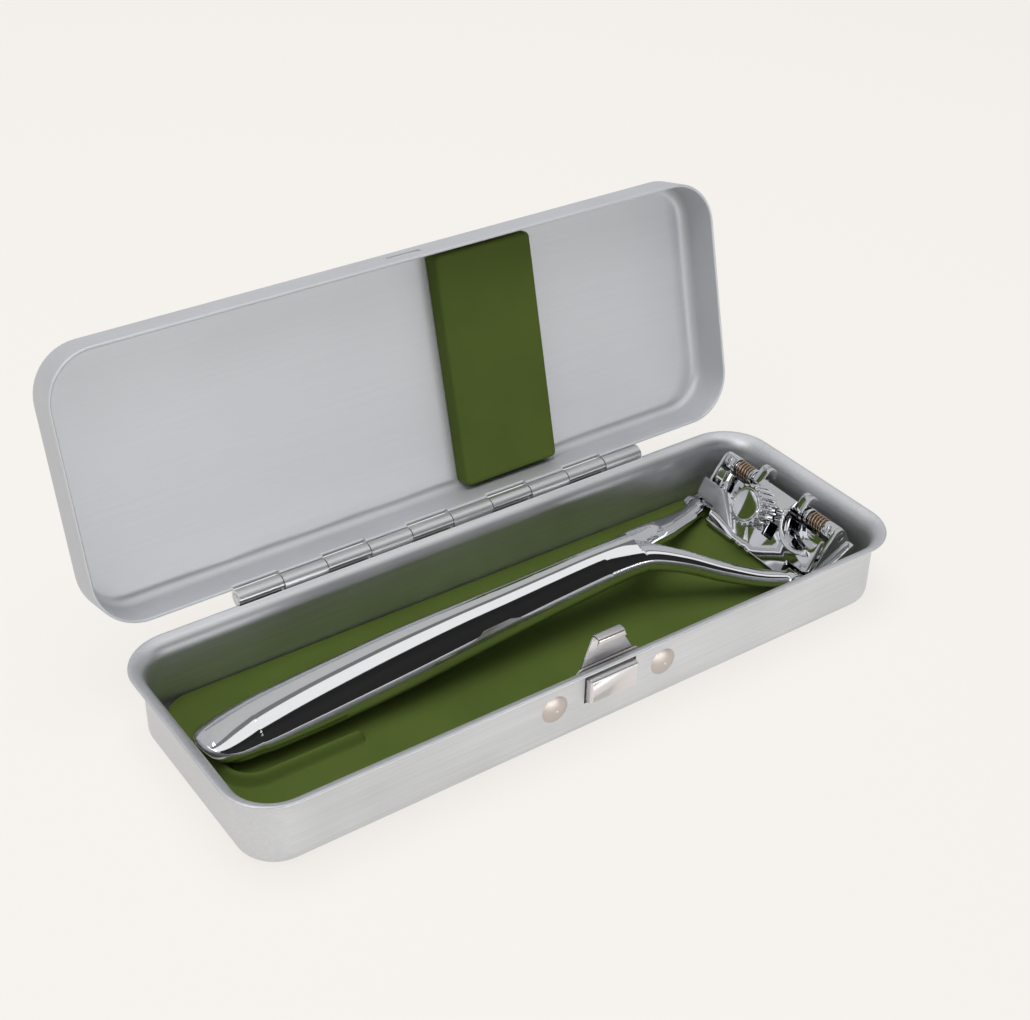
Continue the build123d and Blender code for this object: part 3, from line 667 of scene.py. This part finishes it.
@dataclass
class SoftLining:
    """The moulded mat in the tray and the hold-down pad in the lid, in metres.

    The mat's bead lies round the grip's tip, square to a razor that is turned by the skew in degrees.
    """

    case: Case
    mat_half: tuple[float, float] = (87.45 * MM, 29.85 * MM)
    mat_corner: float = 8.5 * MM
    mat_sheet: float = 3.5 * MM
    mat_under: float = 3.0 * MM
    mat_edge: float = 0.4 * MM
    bead_width: float = 4.6 * MM
    bead_height: float = 2.4 * MM
    bead_length: float = 32.3 * MM
    bead_spread: float = 23.8 * MM
    bead_inset: float = 3.2 * MM
    bead_corner: float = 7.0 * MM
    bead_end: float = 2.2 * MM
    bead_sink: float = 0.02 * MM
    bead_power: float = 0.8
    bead_tip_width: float = 0.3
    flat_margin: float = 1.0 * MM
    razor_offset: float = 2.97 * MM
    razor_skew: float = -1.39
    pad_middle: tuple[float, float] = (25.3 * MM, 0.6 * MM)
    pad_half: tuple[float, float] = (14.5 * MM, 31.2 * MM)
    pad_sheet: float = 5.5 * MM
    pad_corner: float = 1.6 * MM
    pad_edge: float = 1.1 * MM
    pad_seat_edge: float = 0.5 * MM
    pad_flat_margin: float = 0.3 * MM

    def mat(self) -> None:
        """Make the mat: a flat sheet with a rounded edge, and a soft bead that runs in a U."""
        floor = self.case.sheet
        top = floor + self.mat_sheet
        under, edge = self.mat_under, self.mat_edge
        profile = np.vstack((
            [(-under - self.flat_margin, floor)],
            arc_points((-under, floor + under), under, -90, 0, 9),
            arc_points((-edge, top - edge), edge, 0, 90, 6),
            [(-edge - self.flat_margin, top)],
        ))
        walk, normals = rounded_walk(self.mat_half[0], self.mat_half[1], self.mat_corner)
        grid = carry_profile(walk, normals, profile)
        rows, columns = grid.shape[:2]
        faces = grid_faces(rows, columns, wrap_rows=True).tolist() + end_caps(rows, columns)
        bead, bead_faces = self.bead(top)
        shift = rows * columns
        faces += (bead_faces + shift).tolist()
        points = np.vstack((grid.reshape(-1, 3), bead))
        put_piece("moulded_mat", points, faces, GREEN_SILICONE, "base", ("base_liner",), crease=50.0)

    def bead(self, top: float) -> tuple[np.ndarray, np.ndarray]:
        """Work out the bead: its height is a raised cosine across it, and falls to nought at its two ends.

        Args:
            top: the height of the mat's face.

        Returns:
            The bead's points and faces.
        """
        start_x = -self.mat_half[0] + self.bead_inset
        middle_y = self.razor_offset + (start_x + self.bead_length / 2) * np.tan(radians(self.razor_skew))
        half, corner = self.bead_spread / 2, self.bead_corner
        along = np.linspace(start_x + self.bead_length, start_x + corner, 40)
        front = np.column_stack((along, np.full(40, middle_y - half)))
        back = np.column_stack((along[::-1], np.full(40, middle_y + half)))
        turn_front = arc_points((start_x + corner, middle_y - half + corner), corner, 270, 180, 14)
        turn_back = arc_points((start_x + corner, middle_y + half - corner), corner, 180, 90, 14)
        path = np.vstack((front[:-1], turn_front, turn_back, back[1:]))
        heading = np.gradient(path, axis=0)
        heading /= np.linalg.norm(heading, axis=1)[:, None]
        side = np.column_stack((heading[:, 1], -heading[:, 0]))
        run = np.concatenate(([0.0], np.cumsum(np.linalg.norm(np.diff(path, axis=0), axis=1))))
        from_end = np.minimum(run, run[-1] - run) / self.bead_end
        rise = np.sqrt(np.clip(1 - (1 - np.clip(from_end, 0, 1)) ** 2, 0, 1))
        offsets = np.linspace(-1.0, 1.0, 19)
        height = self.bead_height * (0.5 + 0.5 * np.cos(pi * offsets)) ** self.bead_power
        width = (self.bead_tip_width + (1 - self.bead_tip_width) * rise) * self.bead_width / 2
        flat = path[:, None, :] + side[:, None, :] * (width[:, None] * offsets[None, :])[..., None]
        heights = top - self.bead_sink + rise[:, None] * height[None, :]
        grid = np.concatenate((flat, heights[:, :, None]), axis=2)
        return grid.reshape(-1, 3), grid_faces(*grid.shape[:2])

    def pad(self) -> None:
        """Make the pad: a soft-edged block with a flat face, turned open with the lid."""
        seat = self.case.rim_height + self.case.lid_gap + self.case.lid_depth - self.case.sheet
        face = seat - self.pad_sheet
        edge, seat_edge = self.pad_edge, self.pad_seat_edge
        profile = np.vstack((
            [(-seat_edge, seat)],
            arc_points((-seat_edge, seat - seat_edge), seat_edge, 90, 0, 5)[1:],
            arc_points((-edge, face + edge), edge, 0, -90, 9),
            [(-edge - self.pad_flat_margin, face)],
        ))
        walk, normals = rounded_walk(self.pad_half[0], self.pad_half[1], self.pad_corner, per_corner=8)
        grid = carry_profile(walk, normals, profile)
        grid[..., 0] += self.pad_middle[0]
        grid[..., 1] += self.pad_middle[1]
        rows, columns = grid.shape[:2]
        faces = grid_faces(rows, columns, wrap_rows=True).tolist() + end_caps(rows, columns)
        points = self.case.open_lid(grid.reshape(-1, 3))
        faces = [corners[::-1] for corners in faces]
        put_piece("hold_down_pad", points, faces, GREEN_SILICONE, "lid", ("lid_pad",), crease=50.0)


@dataclass
class Latch:
    """The push button, its hooked tongue, the strap behind the wall and the rivets."""

    frame: dict

    def build(self) -> None:
        """Dress the latch's pieces."""
        welded_copy("latch_button", NICKEL, "latch", self.frame)
        welded_copy("latch_tongue", SPRING_STRIP, "latch", self.frame, bevel=0.08 * MM)
        welded_copy("latch_spring", SPRING_STRIP, "base", self.frame)
        welded_copy("latch_washers", RIVET_NICKEL, "base", self.frame)
        welded_copy("latch_rivets", RIVET_NICKEL, "base", self.frame)


@dataclass
class Grip:
    """The razor's grip and its yoke, as one smooth surface of a field, in millimetres.

    The field is the least of a tapering tube for the grip, one for each arm and a drum for each
    boss, with their joins rounded. The surface is where the field is nought. The razor is drawn
    along x with its tip at the low end, then turned by the skew and moved by the offset.

    A row of the grip is its place along, the height of its middle, its half widths behind and in
    front, its rise above and its drop below. The section is a superellipse with one power above
    (crown) and one below (belly). A row of an arm is its place along, its place across, its height,
    its half width and its half height.
    """

    skew: float = -1.39
    offset: float = 2.97
    grip: np.ndarray = field(default_factory=lambda: np.array((
        (-88.2, 11.2, 2.3, 2.6, 0.7, 0.6), (-86.0, 10.6, 4.6, 5.4, 2.4, 3.6),
        (-82.0, 10.0, 6.0, 7.6, 4.6, 5.3), (-75.0, 10.1, 6.8, 8.8, 6.4, 5.6),
        (-64.0, 10.6, 7.0, 9.0, 7.5, 6.1), (-50.0, 11.6, 7.0, 8.8, 8.0, 6.6),
        (-35.0, 12.8, 7.0, 8.4, 8.1, 6.9), (-20.0, 13.9, 6.6, 7.6, 7.7, 6.6),
        (-5.0, 15.0, 6.2, 6.9, 7.1, 6.1), (8.0, 16.0, 5.9, 6.4, 6.7, 5.8),
        (20.0, 16.9, 5.7, 6.1, 6.4, 5.6), (33.0, 17.7, 5.5, 5.7, 5.7, 5.0),
    )))
    arm: np.ndarray = field(default_factory=lambda: np.array((
        (24.0, 1.0, 17.3, 3.9, 3.6), (36.0, 3.0, 17.3, 4.0, 3.7), (44.0, 6.4, 15.2, 3.5, 3.2),
        (54.0, 11.4, 11.2, 3.1, 2.8), (63.5, 16.2, 8.2, 2.6, 2.4), (71.6, 19.6, 6.9, 2.2, 2.1),
    )))
    boss: tuple[float, float, float] = (71.6, 19.6, 6.9)
    boss_radius: float = 2.35
    boss_half: float = 1.9
    nose: float = 13.0
    nose_power: float = 2.4
    nose_behind: float = 6.6
    nose_ahead: float = 8.6
    nose_slack: float = 0.4
    crown: float = 1.5
    belly: float = 2.2
    join: float = 1.6
    boss_join: float = 0.6
    net_low: tuple[float, float, float] = (-89.5, -22.6, 3.2)
    net_high: tuple[float, float, float] = (75.5, 22.6, 23.6)
    step: float = 0.55
    nudge: float = 0.02
    draws: int = 4
    longest_draw: float = 0.4

    def tube(self, places: np.ndarray, table: np.ndarray, side: float) -> np.ndarray:
        """Give how far points lie outside an oval tube, measured in slices across the length.

        Args:
            places: the points.
            table: rows of place along, place across, height, half width and half height.
            side: which side the tube bends to.

        Returns:
            The signed distance, about right near the surface.
        """
        x = np.clip(places[..., 0], table[0, 0], table[-1, 0])
        across, height, half_width, half_height = (
            smooth_curve(x, table[:, 0], table[:, column]) for column in range(1, 5)
        )
        sideways, upwards = places[..., 1] - side * across, places[..., 2] - height
        ratio = np.hypot(sideways / half_width, upwards / half_height)
        radial = (ratio - 1.0) * np.minimum(half_width, half_height)
        past = np.maximum(table[0, 0] - places[..., 0], places[..., 0] - table[-1, 0])
        return np.maximum(radial, past)

    def field_value(self, places: np.ndarray) -> np.ndarray:
        """Join the grip, the arms and the bosses with rounded joins: a polynomial smooth least.

        Args:
            places: the points.

        Returns:
            The field at each point.
        """
        x = places[..., 0]
        start, stop = self.grip[0, 0], self.grip[-1, 0]
        along = np.clip(x, start, stop)
        height, back, front, rise, drop = (
            smooth_curve(along, self.grip[:, 0], self.grip[:, column]) for column in range(1, 6)
        )
        upper, ahead = places[..., 2] > height, places[..., 1] < 0
        half_height, half_width = np.where(upper, rise, drop), np.where(ahead, front, back)
        to_tip = np.clip((start + self.nose - x) / self.nose, 0.0, 1.0)
        blunt = np.clip(1 - to_tip**self.nose_power, 1e-4, 1.0) ** (1 / self.nose_power)
        nose_width = np.where(ahead, self.nose_ahead, self.nose_behind)
        plan = np.where(to_tip > 0, nose_width * blunt, half_width)
        plan = np.minimum(plan, half_width + self.nose_slack)
        power = np.where(upper, self.crown, self.belly)
        across, above = np.abs(places[..., 1] / plan), np.abs((places[..., 2] - height) / half_height)
        ratio = (across**power + above**power + 1e-12) ** (1 / power)
        whole = np.maximum((ratio - 1.0) * np.minimum(plan, half_height), np.maximum(start - x, x - stop))
        for side in (-1.0, 1.0):
            arm = self.arm.copy()
            slope = np.gradient(arm[:, 1], arm[:, 0])
            fall = np.gradient(arm[:, 2], arm[:, 0])
            arm[:, 3] *= np.sqrt(1 + slope**2)
            arm[:, 4] *= np.sqrt(1 + fall**2)
            whole = self.least(whole, self.tube(places, arm, side), self.join)
            drum = np.hypot(x - self.boss[0], places[..., 2] - self.boss[2]) - self.boss_radius
            drum = np.maximum(drum, np.abs(places[..., 1] - side * self.boss[1]) - self.boss_half)
            whole = self.least(whole, drum, self.boss_join)
        return whole

    @staticmethod
    def least(first: np.ndarray, second: np.ndarray, width: float) -> np.ndarray:
        """Take the lesser of two fields, rounded where they come within a width of each other."""
        near = np.clip(0.5 + 0.5 * (second - first) / width, 0.0, 1.0)
        return second * (1 - near) + first * near - width * near * (1 - near)

    def net(self) -> tuple[np.ndarray, np.ndarray]:
        """Wrap the field's nought surface in a net of squares, one point in each cell that it crosses.

        Returns:
            The points and the faces.
        """
        axes = [np.arange(low, high, self.step) for low, high in zip(self.net_low, self.net_high)]
        sizes = [len(axis) for axis in axes]
        corners = np.stack(np.meshgrid(*axes, indexing="ij"), axis=-1)
        value = self.field_value(corners)
        total = np.zeros([size - 1 for size in sizes] + [3])
        count = np.zeros([size - 1 for size in sizes])
        crossings = []
        for axis in range(3):
            head, tail = [slice(None)] * 3, [slice(None)] * 3
            head[axis], tail[axis] = slice(0, -1), slice(1, None)
            first, second = value[tuple(head)], value[tuple(tail)]
            crossed = (first < 0) != (second < 0)
            share = np.where(crossed, first / np.where(crossed, first - second, 1.0), 0.0)
            place = corners[tuple(head)].copy()
            place[..., axis] += share * self.step
            place *= crossed[..., None]
            others = [other for other in range(3) if other != axis]
            for shift_a in (0, 1):
                for shift_b in (0, 1):
                    source = [slice(None)] * 3
                    for other, shift in zip(others, (shift_a, shift_b)):
                        source[other] = slice(shift, sizes[other] - 1 + shift)
                    total += place[tuple(source)]
                    count += crossed[tuple(source)]
            crossings.append((axis, others, crossed, first < 0))
        used = count > 0
        numbers = np.full(used.shape, -1)
        numbers[used] = np.arange(used.sum())
        points = total[used] / count[used][:, None]
        faces = []
        for axis, others, crossed, inside in crossings:
            at = np.argwhere(crossed)
            inner = [(at[:, other] > 0) & (at[:, other] < sizes[other] - 1) for other in others]
            at = at[np.all(inner, axis=0)]
            way = inside[tuple(at.T)]
            ring = []
            for shift_a, shift_b in ((1, 1), (0, 1), (0, 0), (1, 0)):
                cell = at.copy()
                cell[:, others[0]] -= shift_a
                cell[:, others[1]] -= shift_b
                ring.append(numbers[tuple(cell.T)])
            quads = np.stack(ring, axis=1)
            flip = way if axis != 1 else ~way
            quads[~flip] = quads[~flip][:, ::-1]
            faces.append(quads)
        return points, np.vstack(faces)

    def gradient(self, points: np.ndarray) -> np.ndarray:
        """Take the field's slope at points from small steps each way."""
        steps = np.eye(3) * self.nudge
        slopes = [self.field_value(points + way) - self.field_value(points - way) for way in steps]
        return np.stack(slopes, axis=-1) / (2 * self.nudge)

    def build(self) -> None:
        """Net the field, draw each point onto the nought surface along its slope and place the razor."""
        points, faces = self.net()
        for _ in range(self.draws):
            slope = self.gradient(points)
            size = np.maximum((slope**2).sum(axis=1), 0.05)
            move = slope * (self.field_value(points) / size)[:, None]
            length = np.linalg.norm(move, axis=1)[:, None]
            points -= move * np.minimum(1.0, self.longest_draw / np.maximum(length, 1e-9))
        normals = self.gradient(points)
        normals /= np.linalg.norm(normals, axis=1)[:, None]
        turn = np.array(Matrix.Rotation(radians(self.skew), 3, "Z"))
        placed = (points @ turn.T + np.array((0.0, self.offset, 0.0))) * MM
        faces = faces.tolist()
        piece = put_piece("razor_grip", placed, faces, CHROME, "grip", ("razor_handle",), crease=60.0)
        piece.data.normals_split_custom_set_from_vertices((normals @ turn.T).tolist())


@dataclass
class Head:
    """The razor's head: carrier, cover, knob, rod, springs and blades.

    Each row of pieces is a body, a finish, whether the crisp edges are eased, and the nodes.
    """

    frame: dict
    edge: float = 0.12 * MM
    pieces: tuple[tuple[str, Finish, bool, tuple[str, ...]], ...] = (
        ("head", CHROME, True, ("head_carrier", "pivot_screws", "clamp_rod", "rod_collars")),
        ("head", BRONZE_WIRE, False, ("torsion_spring_left", "torsion_spring_right")),
        ("head", BLADE_STEEL, False, ("blade_1", "blade_2", "blade_3")),
        ("head", CHROME, False, ("blade_clamp_1", "blade_clamp_2", "blade_clamp_3")),
        ("cover", CHROME, True, ("head_cover", "cover_ears")),
        ("cover", CHROME, False, ("spring_guard",)),
        ("knob", CHROME, True, ("head_knob",)),
        ("knob", CHROME, False, ("knob_stud",)),
    )

    def build(self) -> None:
        """Dress each piece of the head, with its crisp edges eased where it shows."""
        for body, finish, eased, nodes in self.pieces:
            for node in nodes:
                welded_copy(node, finish, body, self.frame, bevel=self.edge if eased else 0.0)


def flat_sheet(name: str, size: tuple[float, float]) -> bpy.types.Mesh:
    """Make a flat rectangle about the origin, with sides of this size."""
    half_x, half_y = size[0] / 2, size[1] / 2
    mesh = bpy.data.meshes.new(name)
    corners = [(-half_x, -half_y, 0), (half_x, -half_y, 0), (half_x, half_y, 0), (-half_x, half_y, 0)]
    mesh.from_pydata(corners, [], [(0, 1, 2, 3)])
    return mesh


@dataclass(frozen=True)
class Hanging:
    """A thing that hangs in the studio: its name, its middle, what it looks at and its two sides."""

    name: str
    place: Place
    aim: Place
    size: tuple[float, float]

    def hang(self, data: bpy.types.ID) -> bpy.types.Object:
        """Make an object of this data, put it in its place and turn it to its aim."""
        made = bpy.data.objects.new(self.name, data)
        bpy.context.scene.collection.objects.link(made)
        made.location = self.place
        made.rotation_euler = (Vector(self.aim) - Vector(self.place)).to_track_quat("-Z", "Y").to_euler()
        return made


@dataclass(frozen=True)
class Lamp(Hanging):
    """A soft box and its power in watts. A low one is kept off the floor, where it leaves a streak."""

    power: float
    off_floor: bool = False

    def build(self, floor: bpy.types.Object) -> None:
        """Hang the lamp."""
        data = bpy.data.lights.new(self.name, "AREA")
        data.shape = "RECTANGLE"
        data.size, data.size_y = self.size
        data.energy = self.power
        made = self.hang(data)
        if self.off_floor:
            group = bpy.data.collections.new(f"{self.name}_leaves_out")
            group.objects.link(floor)
            group.collection_objects[0].light_linking.link_state = "EXCLUDE"
            made.light_linking.receiver_collection = group


@dataclass(frozen=True)
class Card(Hanging):
    """A card that only bright metal sees: how light it is, and how strongly it shines by itself."""

    shade: float = 0.02
    shine: float = 0.0

    def build(self) -> None:
        """Hang the card."""
        mesh = flat_sheet(self.name, self.size)
        made = self.hang(mesh)
        card = bpy.data.materials.new(self.name)
        inputs = Wiring(card).nodes["Principled BSDF"].inputs
        inputs["Base Color"].default_value = (self.shade, self.shade, self.shade, 1.0)
        inputs["Roughness"].default_value = 0.9
        inputs["Emission Color"].default_value = (1.0, 1.0, 1.0, 1.0)
        inputs["Emission Strength"].default_value = self.shine
        mesh.materials.append(card)
        made.visible_camera = False
        made.visible_diffuse = False
        made.visible_shadow = False
        made.visible_transmission = False


@dataclass
class Studio:
    """The camera, the pale floor, the soft room light, the lamps and the cards.

    The camera stands at its place, with its own right, up and back as directions. The focal length
    and the frame's width are in pixels of the photo. The backdrop is what the camera sees past the
    floor, the cloth and the glow are the floor's own colour and what the camera sees of it, and the
    room's tint and strength are the light all round.
    """

    place: Place = (-0.20103, -0.27414, 0.27053)
    right: Place = (0.82013759, -0.57189731, 0.01754421)
    up: Place = (0.30501548, 0.46294313, 0.8322555)
    back: Place = (-0.48408665, -0.67721276, 0.5541146)
    focal: float = 1725.0
    frame_width: float = 1030.0
    sensor: float = 36.0
    backdrop: Color = (0.939, 0.913, 0.871)
    cloth: Color = (0.62, 0.60, 0.57)
    glow: Color = (1.0, 0.972, 0.93)
    floor_side: float = 8.0
    shadow_kept: float = 0.22
    tint: Color = (0.93, 0.95, 1.0)
    strength: float = 0.42
    backdrop_in_metal: float = 0.2
    lamps: tuple[Lamp, ...] = (
        Lamp("overhead", (-0.1, 0.05, 1.1), aim=(0, 0, 0.02), size=(0.8, 0.8), power=8.0),
        Lamp("key", (-0.9, -0.25, 0.8), aim=(0, 0, 0.03), size=(0.6, 0.6), power=2.2),
        Lamp("front", (0.1, -1.2, 0.06), aim=(0, 0.03, 0.05), size=(1.2, 0.1), power=4.2, off_floor=True),
    )
    cards: tuple[Card, ...] = (
        Card("dark_card", (0.25, -0.9, 0.775), aim=(0.25, 0.0, 0.775), size=(2.2, 1.19), shade=0.01),
        Card("white_card", (0.2, -0.445, 1.0), aim=(0.2, -0.445, 0.0), size=(2.0, 0.43), shine=0.95),
        Card("shade_card", (0.2, -0.155, 1.0), aim=(0.2, -0.155, 0.0), size=(2.0, 0.15), shine=0.16),
        Card("ceiling_card", (0.3, 0.31, 1.0), aim=(0.3, 0.31, 0.0), size=(1.6, 0.78), shine=0.5),
    )

    def camera(self) -> None:
        """Set the camera where the picture was taken from."""
        data = bpy.data.cameras.new("camera")
        data.sensor_fit = "HORIZONTAL"
        data.sensor_width = self.sensor
        data.lens = self.focal / self.frame_width * self.sensor
        data.clip_start = 0.01
        made = bpy.data.objects.new("camera", data)
        bpy.context.scene.collection.objects.link(made)
        turned = Matrix((self.right, self.up, self.back)).transposed().to_4x4()
        turned.translation = Vector(self.place)
        made.matrix_world = turned
        bpy.context.scene.camera = made

    def floor(self) -> bpy.types.Object:
        """Lay a broad sheet that the camera and metal see as a glow, with part of the shadow kept."""
        pale = bpy.data.materials.new("pale_floor")
        tree = Wiring(pale, cleared=True)
        cloth = tree.add("ShaderNodeBsdfDiffuse", {"Color": self.cloth + (1.0,)}).outputs[0]
        glow = tree.add("ShaderNodeEmission", {"Color": self.glow + (1.0,)}).outputs[0]
        ray = tree.add("ShaderNodeLightPath").outputs
        seen = tree.math("MAXIMUM", ray["Is Camera Ray"], ray["Is Glossy Ray"])
        share = tree.math("MULTIPLY", seen, 1.0 - self.shadow_kept)
        tree.add("ShaderNodeOutputMaterial", {"Surface": tree.mix(share, cloth, glow)})
        mesh = flat_sheet("floor", (self.floor_side, self.floor_side))
        mesh.materials.append(pale)
        made = bpy.data.objects.new("floor", mesh)
        bpy.context.scene.collection.objects.link(made)
        return made

    def world(self) -> None:
        """Fill the room with soft light, and show the backdrop to the camera and a share of it to metal."""
        room = bpy.data.worlds.new("room")
        bpy.context.scene.world = room
        tree = Wiring(room, cleared=True)
        light = {"Color": self.tint + (1.0,), "Strength": self.strength}
        soft = tree.add("ShaderNodeBackground", light).outputs[0]
        seen = tree.add("ShaderNodeBackground", {"Color": self.backdrop + (1.0,)}).outputs[0]
        ray = tree.add("ShaderNodeLightPath").outputs
        share = tree.math("MULTIPLY_ADD", ray["Is Glossy Ray"], self.backdrop_in_metal, ray["Is Camera Ray"])
        tree.add("ShaderNodeOutputWorld", {"Surface": tree.mix(share, soft, seen)})

    def build(self) -> None:
        """Set the camera, the floor, the light and the cards."""
        self.camera()
        floor = self.floor()
        self.world()
        for lamp in self.lamps:
            lamp.build(floor)
        for card in self.cards:
            card.build()
        bpy.context.scene.view_settings.view_transform = "Standard"


def main() -> None:
    """Build the dressed case in order."""
    logging.basicConfig(level=logging.INFO, format="%(name)s %(message)s")
    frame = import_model()
    Studio().build()
    case = Case(frame)
    case.tray()
    case.lid()
    case.hinge()
    lining = SoftLining(case)
    lining.mat()
    lining.pad()
    Latch(frame).build()
    Grip().build()
    Head(frame).build()


if __name__ == "__main__":
    main()
